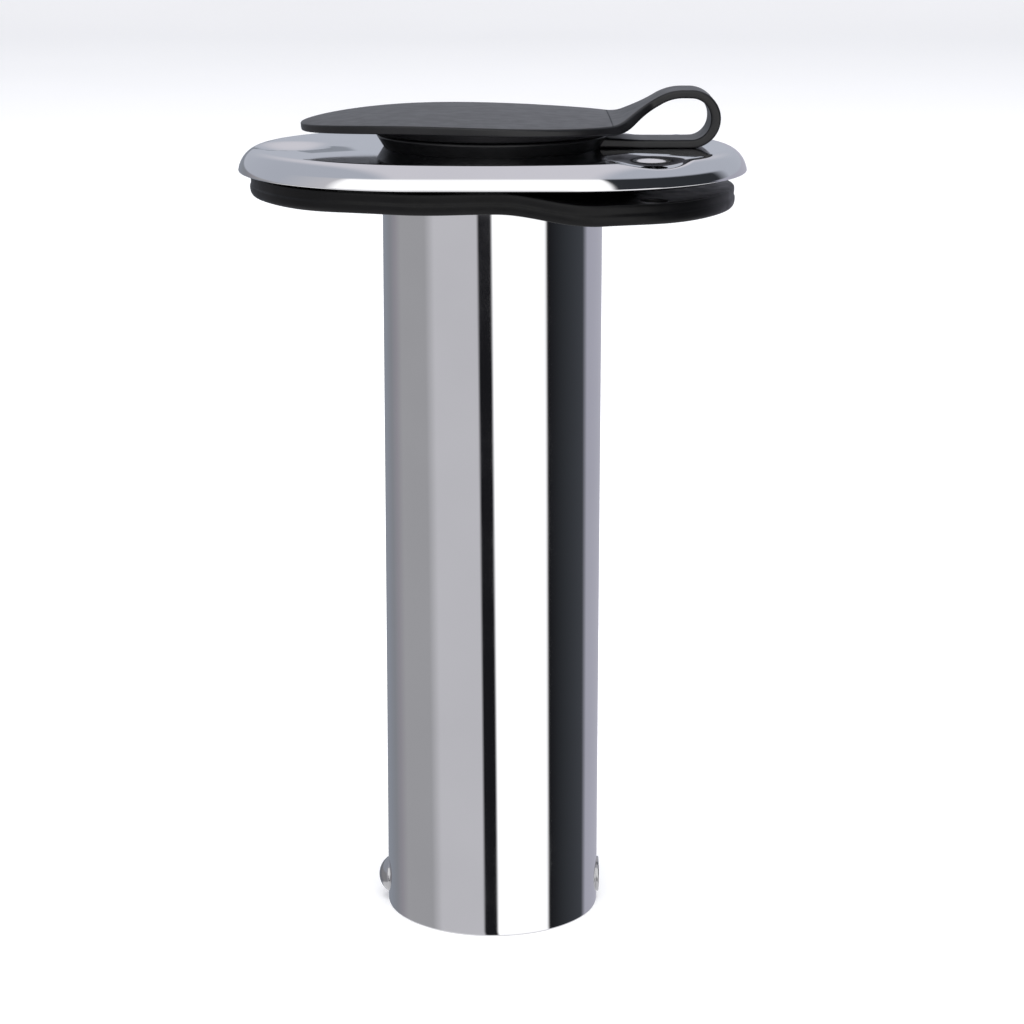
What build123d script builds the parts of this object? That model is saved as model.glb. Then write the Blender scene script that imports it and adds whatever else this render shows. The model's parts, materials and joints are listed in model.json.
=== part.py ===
from build123d import *
import os

# A straight flush-mount fishing rod holder for a boat's deck or gunwale: a polished stainless tube welded
# into a domed oval flange, with a gasket below the flange, a plastic liner in the tube, a riveted cross pin
# for the rod butt's notch, and a rubber cap that hangs on a looped strap from a collar round the mouth.
#
# Frame: millimetres, origin on the tube's axis in the deck plane, which is the gasket's underside.
# +Z is up out of the mouth, and +X points from the tube to the cap's strap.

# Tube
TUBE_OD = 50.8
TUBE_WALL = 1.5
TUBE_LENGTH = 184.0
TUBE_DEBURR = 0.3

# Flange, a casting with straight sides, round ends and a rolled shoulder
FLANGE_LENGTH = 117.0
FLANGE_WIDTH = 85.0
FLANGE_THICKNESS = 6.0
FLANGE_SHOULDER = 4.8

# Three screw holes: one on the long axis, and a pair at the strap's end
SINGLE_SCREW_X = -46.0
PAIR_SCREW_X = 35.5
PAIR_SCREW_SPACING = 60.0
SCREW_HOLE_RADIUS = 3.0
DISH_RADIUS = 8.5
DISH_DEPTH = 3.0

# Gasket
GASKET_THICKNESS = 4.7
GASKET_INSET = 2.6
GASKET_TUBE_HOLE_RADIUS = 29.0
GASKET_SCREW_HOLE_RADIUS = 3.6
GASKET_EDGE_RADIUS = 0.8

# Weld between the tube and the flange's underside
WELD_LEG = 3.0
WELD_SAG = 0.4

# Liner inside the tube
LINER_BORE_RADIUS = 21.5
LINER_TOP_Z = 0.5
LINER_BOTTOM_ABOVE_TUBE_END = 12.3
LINER_LEAD_IN = 1.0

# Collar round the mouth, with a spigot that goes down the tube to the liner
COLLAR_HEIGHT = 3.2
COLLAR_BASE_RADIUS = 25.0
COLLAR_TOP_RADIUS = 27.0
MOUTH_RADIUS = 21.9
MOUTH_LEAD_IN = 0.7

# Cap: an egg-shaped plate with a finger nose, a round boss, and a hollow tapered plug
CAP_NOSE_X = -44.0
CAP_HALF_WIDTH = 30.6
CAP_NECK_X = 27.0
CAP_NECK_HALF_WIDTH = 19.2
CAP_NECK_TAPER = 1.33
CAP_PLATE_THICKNESS = 1.9
CAP_NOSE_TOP = 5.6
CAP_NOSE_SLOPE = 0.16
CAP_CROWN_TOP = 7.3
CAP_CROWN_X = -15.0
CAP_NECK_TOP = 6.45
BOSS_BOTTOM = 3.6
BOSS_RADIUS = 28.3
BOSS_TOP_RADIUS = 29.6
PLUG_TOP_RADIUS = 21.5
PLUG_END_RADIUS = 20.0
PLUG_END_Z = 1.2
PLUG_WALL = 2.2

# Strap: a ribbon from the collar along the flange, round a loop and back into the cap's neck
STRAP_WIDTH = 12.6
STRAP_THICKNESS = 1.9
LOOP_CENTRE_X = 45.4
LOOP_RADIUS = 5.67
LOOP_TOP_RUN = 1.9
SHOULDER_RADIUS = 11.0
UPPER_LEG_SLOPE = 30.0
UPPER_LEG_RUN = 8.4
NECK_BEND_RADIUS = 8.45
NECK_FLARE_END_X = 37.0

# Cross pin, a rivet near the tube's open end
PIN_RADIUS = 3.0
PIN_ABOVE_TUBE_END = 5.8
PIN_HEAD_RADIUS = 4.25
PIN_DOME_HEIGHT = 2.3
PIN_TAIL_HEIGHT = 0.5

# Places that follow from the sizes above
TUBE_RADIUS = TUBE_OD / 2
TUBE_BORE_RADIUS = TUBE_RADIUS - TUBE_WALL
FLANGE_BASE_Z = GASKET_THICKNESS
FLANGE_TOP_Z = FLANGE_BASE_Z + FLANGE_THICKNESS
TUBE_END_Z = FLANGE_TOP_Z - TUBE_LENGTH
PIN_Z = TUBE_END_Z + PIN_ABOVE_TUBE_END
LINER_BOTTOM_Z = TUBE_END_Z + LINER_BOTTOM_ABOVE_TUBE_END
COLLAR_TOP_Z = FLANGE_TOP_Z + COLLAR_HEIGHT
SCREW_PLACES = [
    (SINGLE_SCREW_X, 0),
    (PAIR_SCREW_X, PAIR_SCREW_SPACING / 2),
    (PAIR_SCREW_X, -PAIR_SCREW_SPACING / 2),
]
CLEAR_TOP_Z = FLANGE_TOP_Z + 2 * CAP_CROWN_TOP
OVERSHOOT = 1.0


def turned(*outline):
    """A solid of revolution about the tube's axis, from (radius, height) corners."""
    return revolve(Plane.XZ * make_face(Polyline(*outline, close=True)), Axis.Z)


def upright(radius, low, high):
    """A round bar on the tube's axis between two heights."""
    return Pos(0, 0, low) * Cylinder(radius, high - low, align=(Align.CENTER, Align.CENTER, Align.MIN))


def at_screws(piece):
    return [Pos(x, y, 0) * piece for x, y in SCREW_PLACES]


def oval_plate(length, width, low, thickness):
    return extrude(Plane.XY.offset(low) * SlotOverall(length, width), thickness)


def make_tube():
    tube = upright(TUBE_RADIUS, TUBE_END_Z, FLANGE_TOP_Z)
    tube -= upright(TUBE_BORE_RADIUS, TUBE_END_Z - OVERSHOOT, FLANGE_TOP_Z + OVERSHOOT)
    rims = tube.edges().filter_by(GeomType.CIRCLE).group_by(Axis.Z)[0]
    tube = fillet(rims, TUBE_DEBURR)
    return tube - cross_bar(PIN_RADIUS, -TUBE_OD, TUBE_OD)


def make_flange():
    flange = oval_plate(FLANGE_LENGTH, FLANGE_WIDTH, FLANGE_BASE_Z, FLANGE_THICKNESS)
    flange = fillet(flange.faces().sort_by(Axis.Z)[-1].edges(), FLANGE_SHOULDER)
    flange -= upright(TUBE_RADIUS, FLANGE_BASE_Z - OVERSHOOT, FLANGE_TOP_Z + OVERSHOOT)
    hole = upright(SCREW_HOLE_RADIUS, FLANGE_BASE_Z - OVERSHOOT, FLANGE_TOP_Z)
    # The dish is part of a ball that meets the flange's top and the screw hole at the two stated radii.
    rise = (DISH_RADIUS**2 - SCREW_HOLE_RADIUS**2 - DISH_DEPTH**2) / (2 * DISH_DEPTH)
    ball = Pos(0, 0, FLANGE_TOP_Z + rise) * Sphere((rise**2 + DISH_RADIUS**2) ** 0.5)
    for cut in at_screws(hole + ball):
        flange -= cut
    return flange


def make_gasket():
    length = FLANGE_LENGTH - 2 * GASKET_INSET
    width = FLANGE_WIDTH - 2 * GASKET_INSET
    gasket = oval_plate(length, width, 0, GASKET_THICKNESS)
    gasket = fillet(gasket.faces().sort_by(Axis.Z)[0].edges(), GASKET_EDGE_RADIUS)
    gasket -= upright(GASKET_TUBE_HOLE_RADIUS, -OVERSHOOT, GASKET_THICKNESS + OVERSHOOT)
    for cut in at_screws(upright(GASKET_SCREW_HOLE_RADIUS, -OVERSHOOT, GASKET_THICKNESS + OVERSHOOT)):
        gasket -= cut
    return gasket


def make_weld_bead():
    outer, low = TUBE_RADIUS + WELD_LEG, FLANGE_BASE_Z - WELD_LEG
    face_of_weld = SagittaArc((outer, FLANGE_BASE_Z), (TUBE_RADIUS, low), WELD_SAG)
    legs = Polyline((TUBE_RADIUS, low), (TUBE_RADIUS, FLANGE_BASE_Z), (outer, FLANGE_BASE_Z))
    return revolve(Plane.XZ * make_face([face_of_weld, legs]), Axis.Z)


def make_rod_liner():
    return turned(
        (LINER_BORE_RADIUS, LINER_TOP_Z),
        (TUBE_BORE_RADIUS, LINER_TOP_Z),
        (TUBE_BORE_RADIUS, LINER_BOTTOM_Z),
        (LINER_BORE_RADIUS + LINER_LEAD_IN, LINER_BOTTOM_Z),
        (LINER_BORE_RADIUS, LINER_BOTTOM_Z + LINER_LEAD_IN),
    )


def make_collar_ring():
    return turned(
        (MOUTH_RADIUS, LINER_TOP_Z),
        (TUBE_BORE_RADIUS, LINER_TOP_Z),
        (TUBE_BORE_RADIUS, FLANGE_TOP_Z),
        (COLLAR_BASE_RADIUS, FLANGE_TOP_Z),
        (COLLAR_TOP_RADIUS, COLLAR_TOP_Z),
        (MOUTH_RADIUS + MOUTH_LEAD_IN, COLLAR_TOP_Z),
        (MOUTH_RADIUS, COLLAR_TOP_Z - MOUTH_LEAD_IN),
    )


def cap_plan():
    """The cap's outline seen from above, as a block: half an ellipse to the nose, and round to the neck."""
    nose = EllipticalCenterArc((0, 0), -CAP_NOSE_X, CAP_HALF_WIDTH, 90, arc_size=180)
    sides = [
        Spline(
            (0, side * CAP_HALF_WIDTH),
            (CAP_NECK_X, side * CAP_NECK_HALF_WIDTH),
            tangents=[(1, 0), (1, -side * CAP_NECK_TAPER)],
        )
        for side in (1, -1)
    ]
    end = Line((CAP_NECK_X, CAP_NECK_HALF_WIDTH), (CAP_NECK_X, -CAP_NECK_HALF_WIDTH))
    return extrude(Plane.XY * make_face([nose, *sides, end]), CLEAR_TOP_Z)


def make_cap():
    """The plate follows a shallow arch from nose to neck; the boss and plug hang below it."""
    arch = [
        (CAP_NOSE_X - OVERSHOOT, CAP_NOSE_TOP),
        (CAP_CROWN_X, CAP_CROWN_TOP),
        (CAP_NECK_X + OVERSHOOT, CAP_NECK_TOP),
    ]
    top = [(x, FLANGE_TOP_Z + z) for x, z in arch]
    bottom = [(x, z - CAP_PLATE_THICKNESS) for x, z in top]
    tangents = [(1, CAP_NOSE_SLOPE), (1, 0)]
    upper, lower = Spline(*top, tangents=tangents), Spline(*bottom, tangents=tangents)
    ends = [Line(top[0], bottom[0]), Line(top[-1], bottom[-1])]
    plate = extrude(Plane.XZ * make_face([upper, lower, *ends]), CAP_HALF_WIDTH, both=True)
    boss_z, boss_top_z = FLANGE_TOP_Z + BOSS_BOTTOM, FLANGE_TOP_Z + CAP_NECK_TOP - CAP_PLATE_THICKNESS / 2
    boss = turned((0, boss_z), (BOSS_RADIUS, boss_z), (BOSS_TOP_RADIUS, boss_top_z), (0, boss_top_z))
    plug = turned((0, boss_z), (PLUG_TOP_RADIUS, boss_z), (PLUG_END_RADIUS, PLUG_END_Z), (0, PLUG_END_Z))
    hollow = turned(
        (0, boss_z),
        (PLUG_TOP_RADIUS - PLUG_WALL, boss_z),
        (PLUG_END_RADIUS - PLUG_WALL, PLUG_END_Z),
        (0, PLUG_END_Z),
    )
    return ((plate + boss) & cap_plan()) + (plug - hollow)


def strap_path():
    """The strap's centreline in the XZ plane, from the collar out along the flange, round and back to the cap."""
    middle = FLANGE_TOP_Z + STRAP_THICKNESS / 2
    lower_leg = Line((MOUTH_RADIUS, middle), (LOOP_CENTRE_X, middle))
    loop = JernArc(lower_leg @ 1, (1, 0), LOOP_RADIUS, 180)
    top_run = Line(loop @ 1, (loop @ 1) + Vector(-LOOP_TOP_RUN, 0))
    shoulder = JernArc(top_run @ 1, (-1, 0), SHOULDER_RADIUS, UPPER_LEG_SLOPE)
    upper_leg = Line(shoulder @ 1, (shoulder @ 1) + (shoulder % 1) * UPPER_LEG_RUN)
    neck = JernArc(upper_leg @ 1, shoulder % 1, NECK_BEND_RADIUS, -UPPER_LEG_SLOPE)
    into_cap = Line(neck @ 1, (CAP_NECK_X - OVERSHOOT, (neck @ 1).Y))
    return [lower_leg, loop, top_run, shoulder], [upper_leg, neck, into_cap]


def ribbon(edges, half_width):
    face = trace(Wire(edges), STRAP_THICKNESS)
    return extrude(Plane.XZ * face, half_width, both=True)


def neck_plan():
    """The strap's widening into the cap, seen from above, as a block that stays clear of the lower leg."""
    edges = [
        Spline(
            (CAP_NECK_X, side * CAP_NECK_HALF_WIDTH),
            (NECK_FLARE_END_X, side * STRAP_WIDTH / 2),
            tangents=[(1, -side * CAP_NECK_TAPER), (1, 0)],
        )
        for side in (1, -1)
    ]
    for x, half in ((CAP_NECK_X, CAP_NECK_HALF_WIDTH), (NECK_FLARE_END_X, STRAP_WIDTH / 2)):
        edges.append(Line((x, half), (x, -half)))
    above_lower_leg = FLANGE_TOP_Z + BOSS_BOTTOM
    return extrude(Plane.XY.offset(above_lower_leg) * make_face(edges), CLEAR_TOP_Z - above_lower_leg)


def make_cap_strap(collar_ring, cap):
    loop, leg_to_cap = strap_path()
    strap = ribbon([*loop, *leg_to_cap], STRAP_WIDTH / 2)
    strap += ribbon([*loop, *leg_to_cap], CAP_NECK_HALF_WIDTH) & neck_plan()
    strap -= upright(COLLAR_BASE_RADIUS, 0, COLLAR_TOP_Z)
    return strap - collar_ring - cap


def cross_bar(radius, low_x, high_x):
    """A round bar along X at the cross pin's height."""
    bar = Cylinder(radius, high_x - low_x, align=(Align.CENTER, Align.CENTER, Align.MIN))
    return Pos(low_x, 0, PIN_Z) * Rot(0, 90, 0) * bar


def make_gimbal_pin():
    """A rivet: a domed head on the side away from the strap, and a low flattened tail on the other."""
    tail_end = TUBE_RADIUS + PIN_TAIL_HEIGHT
    dome_radius = (PIN_HEAD_RADIUS**2 + PIN_DOME_HEIGHT**2) / (2 * PIN_DOME_HEIGHT)
    dome_top = -TUBE_RADIUS - PIN_DOME_HEIGHT
    inside_tube = upright(TUBE_RADIUS, TUBE_END_Z - OVERSHOOT, 0)
    dome = cross_bar(PIN_HEAD_RADIUS, dome_top, -TUBE_RADIUS)
    dome &= Pos(dome_top + dome_radius, 0, PIN_Z) * Sphere(dome_radius)
    dome += cross_bar(PIN_HEAD_RADIUS, -TUBE_RADIUS, -TUBE_BORE_RADIUS) - inside_tube
    tail = cross_bar(PIN_HEAD_RADIUS, TUBE_BORE_RADIUS, tail_end) - inside_tube
    return cross_bar(PIN_RADIUS, -TUBE_RADIUS, tail_end) + dome + tail


def main():
    collar_ring = make_collar_ring()
    cap = make_cap()
    nodes = {
        "tube": make_tube(),
        "flange": make_flange(),
        "weld_bead": make_weld_bead(),
        "gasket": make_gasket(),
        "rod_liner": make_rod_liner(),
        "collar_ring": collar_ring,
        "cap_strap": make_cap_strap(collar_ring, cap),
        "cap": cap,
        "gimbal_pin": make_gimbal_pin(),
    }
    os.makedirs("parts", exist_ok=True)
    for name, solid in nodes.items():
        export_step(solid, f"parts/{name}.step")


main()
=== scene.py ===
import json
import math

import bmesh
import bpy
import numpy as np
from mathutils import Euler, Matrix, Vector
from mathutils.geometry import delaunay_2d_cdt


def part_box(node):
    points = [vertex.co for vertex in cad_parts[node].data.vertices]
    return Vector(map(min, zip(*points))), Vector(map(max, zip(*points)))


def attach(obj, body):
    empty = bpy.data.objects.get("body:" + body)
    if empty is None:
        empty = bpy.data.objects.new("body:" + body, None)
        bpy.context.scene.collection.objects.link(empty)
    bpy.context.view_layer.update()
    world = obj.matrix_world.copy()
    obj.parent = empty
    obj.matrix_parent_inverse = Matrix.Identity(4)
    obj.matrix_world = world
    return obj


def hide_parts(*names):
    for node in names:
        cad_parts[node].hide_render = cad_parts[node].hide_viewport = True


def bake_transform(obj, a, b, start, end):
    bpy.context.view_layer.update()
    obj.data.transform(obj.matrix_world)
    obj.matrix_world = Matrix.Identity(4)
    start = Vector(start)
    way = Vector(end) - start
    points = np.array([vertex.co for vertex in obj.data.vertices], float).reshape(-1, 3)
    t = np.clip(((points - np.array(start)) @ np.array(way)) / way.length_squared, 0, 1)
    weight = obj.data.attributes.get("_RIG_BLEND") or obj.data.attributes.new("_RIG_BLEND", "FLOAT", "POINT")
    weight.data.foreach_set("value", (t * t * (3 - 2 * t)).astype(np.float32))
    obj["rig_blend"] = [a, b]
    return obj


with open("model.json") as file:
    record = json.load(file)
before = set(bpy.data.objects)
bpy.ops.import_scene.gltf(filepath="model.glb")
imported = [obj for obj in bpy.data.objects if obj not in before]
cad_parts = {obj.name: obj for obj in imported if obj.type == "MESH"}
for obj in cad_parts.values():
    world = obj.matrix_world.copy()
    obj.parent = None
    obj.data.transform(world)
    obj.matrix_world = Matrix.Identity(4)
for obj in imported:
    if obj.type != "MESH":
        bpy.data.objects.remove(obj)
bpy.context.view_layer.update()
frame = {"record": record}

# A straight flush-mount rod holder. Metres, in the CAD frame: the origin is on the tube's axis in the deck
# plane, +Z is up out of the mouth and +X points to the cap's strap.

MM = 0.001
HOLDER, CAP = "holder", "cap"
mounts = {mount["name"]: mount for mount in frame["record"]["mounts"]}

# Sizes from the frame
tube_low, tube_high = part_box("tube")
flange_low, flange_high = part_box("flange")
gasket_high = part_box("gasket")[1]
liner_low, liner_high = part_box("rod_liner")
collar_low, collar_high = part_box("collar_ring")
cap_low, cap_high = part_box("cap")
strap_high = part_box("cap_strap")[1]
weld_low, weld_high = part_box("weld_bead")
pin_low, pin_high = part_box("gimbal_pin")
DECK_TOP = flange_high.z
TUBE_RADIUS = tube_high.x
TUBE_BORE = liner_high.x
LINER_BORE = mounts["rod_bore"]["dims"]["r_mm"] * MM
PIN_Z = (pin_low.z + pin_high.z) / 2
PIN_HEAD_RADIUS = pin_high.y
HOLE_RADIUS = mounts["single_screw"]["dims"]["r_mm"] * MM
pair = mounts["screw_pair"]
PAIR_HALF_SPACING = pair["dims"]["spacing_y_mm"] * MM / 2
SCREWS = [
    (mounts["single_screw"]["pos_m"][0], 0.0),
    (pair["pos_m"][0], PAIR_HALF_SPACING),
    (pair["pos_m"][0], -PAIR_HALF_SPACING),
]

# Sizes of the surfaces' own shapes
RIM_LIFT, RIM_ROUNDING, RIM_UNDERCUT = 0.65 * MM, 0.3 * MM, 2.3 * MM
SHOULDER_WIDTH, SHOULDER_TURN = 5.4 * MM, 0.97
SHOULDER_DROP = DECK_TOP - flange_low.z - RIM_LIFT - RIM_ROUNDING
DISH_RADIUS, DISH_DEPTH = 8.6 * MM, 1.5 * MM
DISH_RIM_SOFTNESS = 0.9 * MM
PIN_RADIUS = 3.0 * MM
PLATE = 1.9 * MM


# Meshes

# Vertices closer than this are one vertex.
SAME_PLACE = 1e-7


def shaded(name, *parts):
    """A smooth piece from (vertices, faces) or (vertices, faces, normals) parts.

    Normals lean to the larger faces round a vertex, so that flats stay flat beside small rounded edges.
    """
    vertices, normals, faces = [], [], []
    for part in parts:
        first = sum(len(v) for v in vertices)
        points = np.asarray(part[0], float)
        vertices.append(points)
        normals.append(part[2] if len(part) > 2 else area_normals(points, part[1]))
        faces.extend(tuple(first + v for v in face) for face in part[1])
    mesh = bpy.data.meshes.new(name)
    mesh.from_pydata(np.vstack(vertices).tolist(), [], faces)
    mesh.update()
    mesh.polygons.foreach_set("use_smooth", [True] * len(mesh.polygons))
    mesh.normals_split_custom_set_from_vertices(np.vstack(normals).tolist())
    piece = bpy.data.objects.new(name, mesh)
    bpy.context.scene.collection.objects.link(piece)
    return piece


def area_normals(vertices, faces):
    """Each vertex's normal, weighted by the areas of the faces round it."""
    normals = np.zeros_like(vertices)
    for face in faces:
        corners = vertices[list(face)]
        around = corners - corners.mean(0)
        area = np.cross(around, np.roll(around, -1, 0)).sum(0)
        for index in face:
            normals[index] += area
    lengths = np.linalg.norm(normals, axis=1, keepdims=True)
    return normals / np.where(lengths > 0, lengths, 1)


def merged(vertices, faces, normals=None):
    """The same surface with coincident vertices made one and collapsed faces dropped."""
    vertices = np.asarray(vertices, float)
    keys = np.round(vertices / SAME_PLACE).astype(np.int64)
    _, first, index = np.unique(keys, axis=0, return_index=True, return_inverse=True)
    kept = []
    for face in faces:
        corners = list(dict.fromkeys(int(v) for v in index.ravel()[list(face)]))
        if len(corners) > 2:
            kept.append(corners)
    if normals is None:
        return vertices[first], kept
    return vertices[first], kept, normals[first]


def arc_corner(before, corner, after, radius, steps=5):
    """Points that round off a corner between two others."""
    corner = np.array(corner, float)
    u, v = np.array(before, float) - corner, np.array(after, float) - corner
    u, v = u / np.linalg.norm(u), v / np.linalg.norm(v)
    half = math.acos(max(-1.0, min(1.0, float(u @ v)))) / 2
    reach = radius / math.tan(half)
    middle = (u + v) / np.linalg.norm(u + v)
    centre = corner + middle * radius / math.sin(half)
    start, end = corner + u * reach - centre, corner + v * reach - centre
    turn = math.atan2(start[0] * end[1] - start[1] * end[0], float(start @ end))
    for step in range(steps + 1):
        angle = turn * step / steps
        c, s = math.cos(angle), math.sin(angle)
        yield centre + np.array([c * start[0] - s * start[1], s * start[0] + c * start[1]])


def rounded(corners):
    """A closed outline from (across, along, radius) corners, each rounded to its own radius."""
    points = []
    for i, (x, y, radius) in enumerate(corners):
        before, after = corners[i - 1][:2], corners[(i + 1) % len(corners)][:2]
        if radius == 0:
            points.append(np.array([x, y], float))
        else:
            points.extend(arc_corner(before, (x, y), after, radius))
    return np.array(points)


def turned(corners, segments=192, shape=None):
    """A closed (radius, height) outline turned about the Z axis. shape may change each point by its angle."""
    outline = rounded(corners)
    vertices = []
    for i in range(segments):
        angle = 2 * math.pi * i / segments
        for radius, height in outline:
            r, z = shape(angle, radius, height) if shape else (radius, height)
            vertices.append((r * math.cos(angle), r * math.sin(angle), z))
    n = len(outline)
    faces = []
    for i in range(segments):
        here, there = i * n, (i + 1) % segments * n
        for j in range(n):
            k = (j + 1) % n
            faces.append((here + j, there + j, there + k, here + k))
    return merged(vertices, faces)


def smooth_step(x, start, end):
    """0 before start and 1 after end, with a smooth rise between."""
    t = np.clip((x - start) / (end - start), 0, 1)
    return t * t * (3 - 2 * t)


def triangles(loops, extra=()):
    """A flat triangulation between an outer loop and its holes, with loose points: (points, faces, sources).

    The holes are convex, so a triangle with all its corners on one hole's loop fills it, and is dropped.
    """
    points, edges, owner = [], [], []
    for number, loop in enumerate(loops):
        first = len(points)
        points.extend(Vector(p) for p in loop)
        owner.extend([number] * len(loop))
        edges.extend((first + i, first + (i + 1) % len(loop)) for i in range(len(loop)))
    points.extend(Vector(p) for p in extra)
    owner.extend([0] * len(extra))
    found, _, faces, source, _, _ = delaunay_2d_cdt(points, edges, [], 0, 1e-9)
    sources = [given[0] if given else -1 for given in source]
    holes = [owner[given] if given >= 0 else 0 for given in sources]
    kept = [tuple(face) for face in faces if holes[face[0]] == 0 or len({holes[v] for v in face}) > 1]
    return np.array(found), kept, sources


# Flange

HALF_LENGTH, HALF_WIDTH = flange_high.x, flange_high.y
END_CENTRE = HALF_LENGTH - HALF_WIDTH


def edge_distance(x, y):
    """How far a point of the plan is inside the flange's outline."""
    return HALF_WIDTH - np.hypot(np.maximum(np.abs(x) - END_CENTRE, 0), y)


def oval_loop(inset, count=320):
    """The flange's outline, moved inwards, as evenly turned points with the straight sides divided too."""
    radius = HALF_WIDTH - inset
    points = []
    for side in (1, -1):
        for angle in np.linspace(-math.pi / 2, math.pi / 2, count // 2 - 24):
            points.append((side * (END_CENTRE + radius * math.cos(angle)), side * radius * math.sin(angle)))
        for x in np.linspace(END_CENTRE, -END_CENTRE, 26)[1:-1]:
            points.append((side * x, side * radius))
    return np.array(points)


def circle(x, y, radius, count):
    """Plan points evenly round a circle."""
    angles = np.linspace(0, 2 * math.pi, count, endpoint=False)
    return np.c_[x + radius * np.cos(angles), y + radius * np.sin(angles)]


def flange_height(x, y):
    """The flange's upper surface: flat, a rolled shoulder round the edge, and a round dish at each screw."""
    out = 1 - np.clip(edge_distance(x, y) / SHOULDER_WIDTH, 0, 1)
    fall = (1 - np.sqrt(1 - SHOULDER_TURN * out**2)) / (1 - math.sqrt(1 - SHOULDER_TURN))
    height = DECK_TOP - SHOULDER_DROP * fall
    rise = (DISH_RADIUS**2 - HOLE_RADIUS**2 - DISH_DEPTH**2) / (2 * DISH_DEPTH)
    ball = rise**2 + DISH_RADIUS**2
    for sx, sy in SCREWS:
        away = np.minimum((x - sx) ** 2 + (y - sy) ** 2, ball * 0.99)
        dish = DECK_TOP + rise - np.sqrt(ball - away)
        near = np.maximum(DISH_RIM_SOFTNESS - np.abs(height - dish), 0)
        height = np.minimum(height, dish) - near**2 / (4 * DISH_RIM_SOFTNESS)
    return height


def flange_normals(points):
    """The upper surface's normals, taken a little inside the outline for points that are on it."""
    step = 2e-6
    middle = np.c_[np.clip(points[:, 0], -END_CENTRE, END_CENTRE), np.zeros(len(points))]
    away = np.linalg.norm(points - middle, axis=1, keepdims=True)
    x, y = (middle + (points - middle) * np.minimum(1, (HALF_WIDTH - 2 * step) / away)).T
    slope_x = (flange_height(x + step, y) - flange_height(x - step, y)) / (2 * step)
    slope_y = (flange_height(x, y + step) - flange_height(x, y - step)) / (2 * step)
    normals = np.c_[-slope_x, -slope_y, np.ones(len(points))]
    return normals / np.linalg.norm(normals, axis=1, keepdims=True)


def flange_points():
    """Loose plan points, closest together where the surface turns."""
    rings = [oval_loop(SHOULDER_WIDTH * (1 - math.cos(a))) for a in np.linspace(0, math.pi / 2, 19)[1:]]
    rings += [oval_loop(inset * MM, 200) for inset in (7.5, 9.5, 12)]
    rings += [circle(0, 0, TUBE_RADIUS + gap * MM, 160) for gap in (0.4, 1.2, 3, 5.5)]
    points = np.vstack(rings)
    for sx, sy in SCREWS:
        points = points[np.hypot(points[:, 0] - sx, points[:, 1] - sy) > DISH_RADIUS + 1.2 * MM]
    points = points[np.hypot(points[:, 0], points[:, 1]) > TUBE_RADIUS + 0.2 * MM]
    for sx, sy in SCREWS:
        radii = np.r_[np.linspace(HOLE_RADIUS + 0.3 * MM, DISH_RADIUS - 1.5 * MM, 9),
                      np.linspace(DISH_RADIUS - 1.3 * MM, DISH_RADIUS + 1.2 * MM, 17)]
        for radius in radii:
            ring = circle(sx, sy, radius, 112)
            points = np.vstack([points, ring[edge_distance(ring[:, 0], ring[:, 1]) > 0.12 * MM]])
    return points


def make_flange():
    """Top, rim and underside, with a true normal at every corner so that reflections run clean."""
    loops = [oval_loop(0), circle(0, 0, TUBE_RADIUS, 192)]
    loops += [circle(sx, sy, HOLE_RADIUS, 64) for sx, sy in SCREWS]
    plan, top_faces, order = triangles(loops, flange_points())
    vertices = np.c_[plan, flange_height(plan[:, 0], plan[:, 1])]
    normals = [flange_normals(plan)]
    faces, corner_normals = [], []
    for face in top_faces:
        faces.append(face)
        corner_normals.extend(normals[0][v] for v in face)
    # The rim and the holes' walls go down from the top's boundary to the underside.
    place = {int(source): i for i, source in enumerate(order) if source >= 0}
    base, start, low = flange_low.z, 0, []
    for number, loop in enumerate(loops):
        centre = np.array([(0, 0), (0, 0), *SCREWS][number])
        rows = [[place[start + i] for i in range(len(loop))]]
        if number == 0:
            outward = loop - np.c_[np.clip(loop[:, 0], -END_CENTRE, END_CENTRE), np.zeros(len(loop))]
            steps = [(RIM_ROUNDING * (1 - math.cos(a)), RIM_LIFT + RIM_ROUNDING * (1 - math.sin(a)), a)
                     for a in np.linspace(0, math.pi / 2, 7)[1:]] + [(RIM_UNDERCUT, 0.0, math.pi / 2)]
        else:
            outward = -(loop - centre)
            steps = [(0.0, 0.0, 0.0)]
        outward = outward / np.linalg.norm(outward, axis=1, keepdims=True)
        tilts = [0.0]
        for inset, up, tilt in steps:
            ring = np.c_[loop - outward * inset, np.full(len(loop), base + up)]
            rows.append(list(range(len(vertices), len(vertices) + len(ring))))
            vertices = np.vstack([vertices, ring])
            tilts.append(tilt)
        for upper, lower, a, b in zip(rows, rows[1:], tilts, tilts[1:]):
            for i in range(len(loop)):
                j = (i + 1) % len(loop)
                faces.append((upper[i], lower[i], lower[j], upper[j]))
                for k, tilt in ((i, a), (i, b), (j, b), (j, a)):
                    flat = outward[k] * math.cos(tilt)
                    corner_normals.append((flat[0], flat[1], -math.sin(tilt)))
        low.append(rows[-1])
        start += len(loop)
    under = [vertices[row][:, :2] for row in low]
    _, under_faces, under_order = triangles(under)
    flat_index = [v for row in low for v in row]
    for face in under_faces:
        faces.append(tuple(flat_index[under_order[v]] for v in face))
        corner_normals.extend([(0, 0, -1)] * len(face))
    return faced("flange_casting", vertices, faces, corner_normals)


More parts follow.
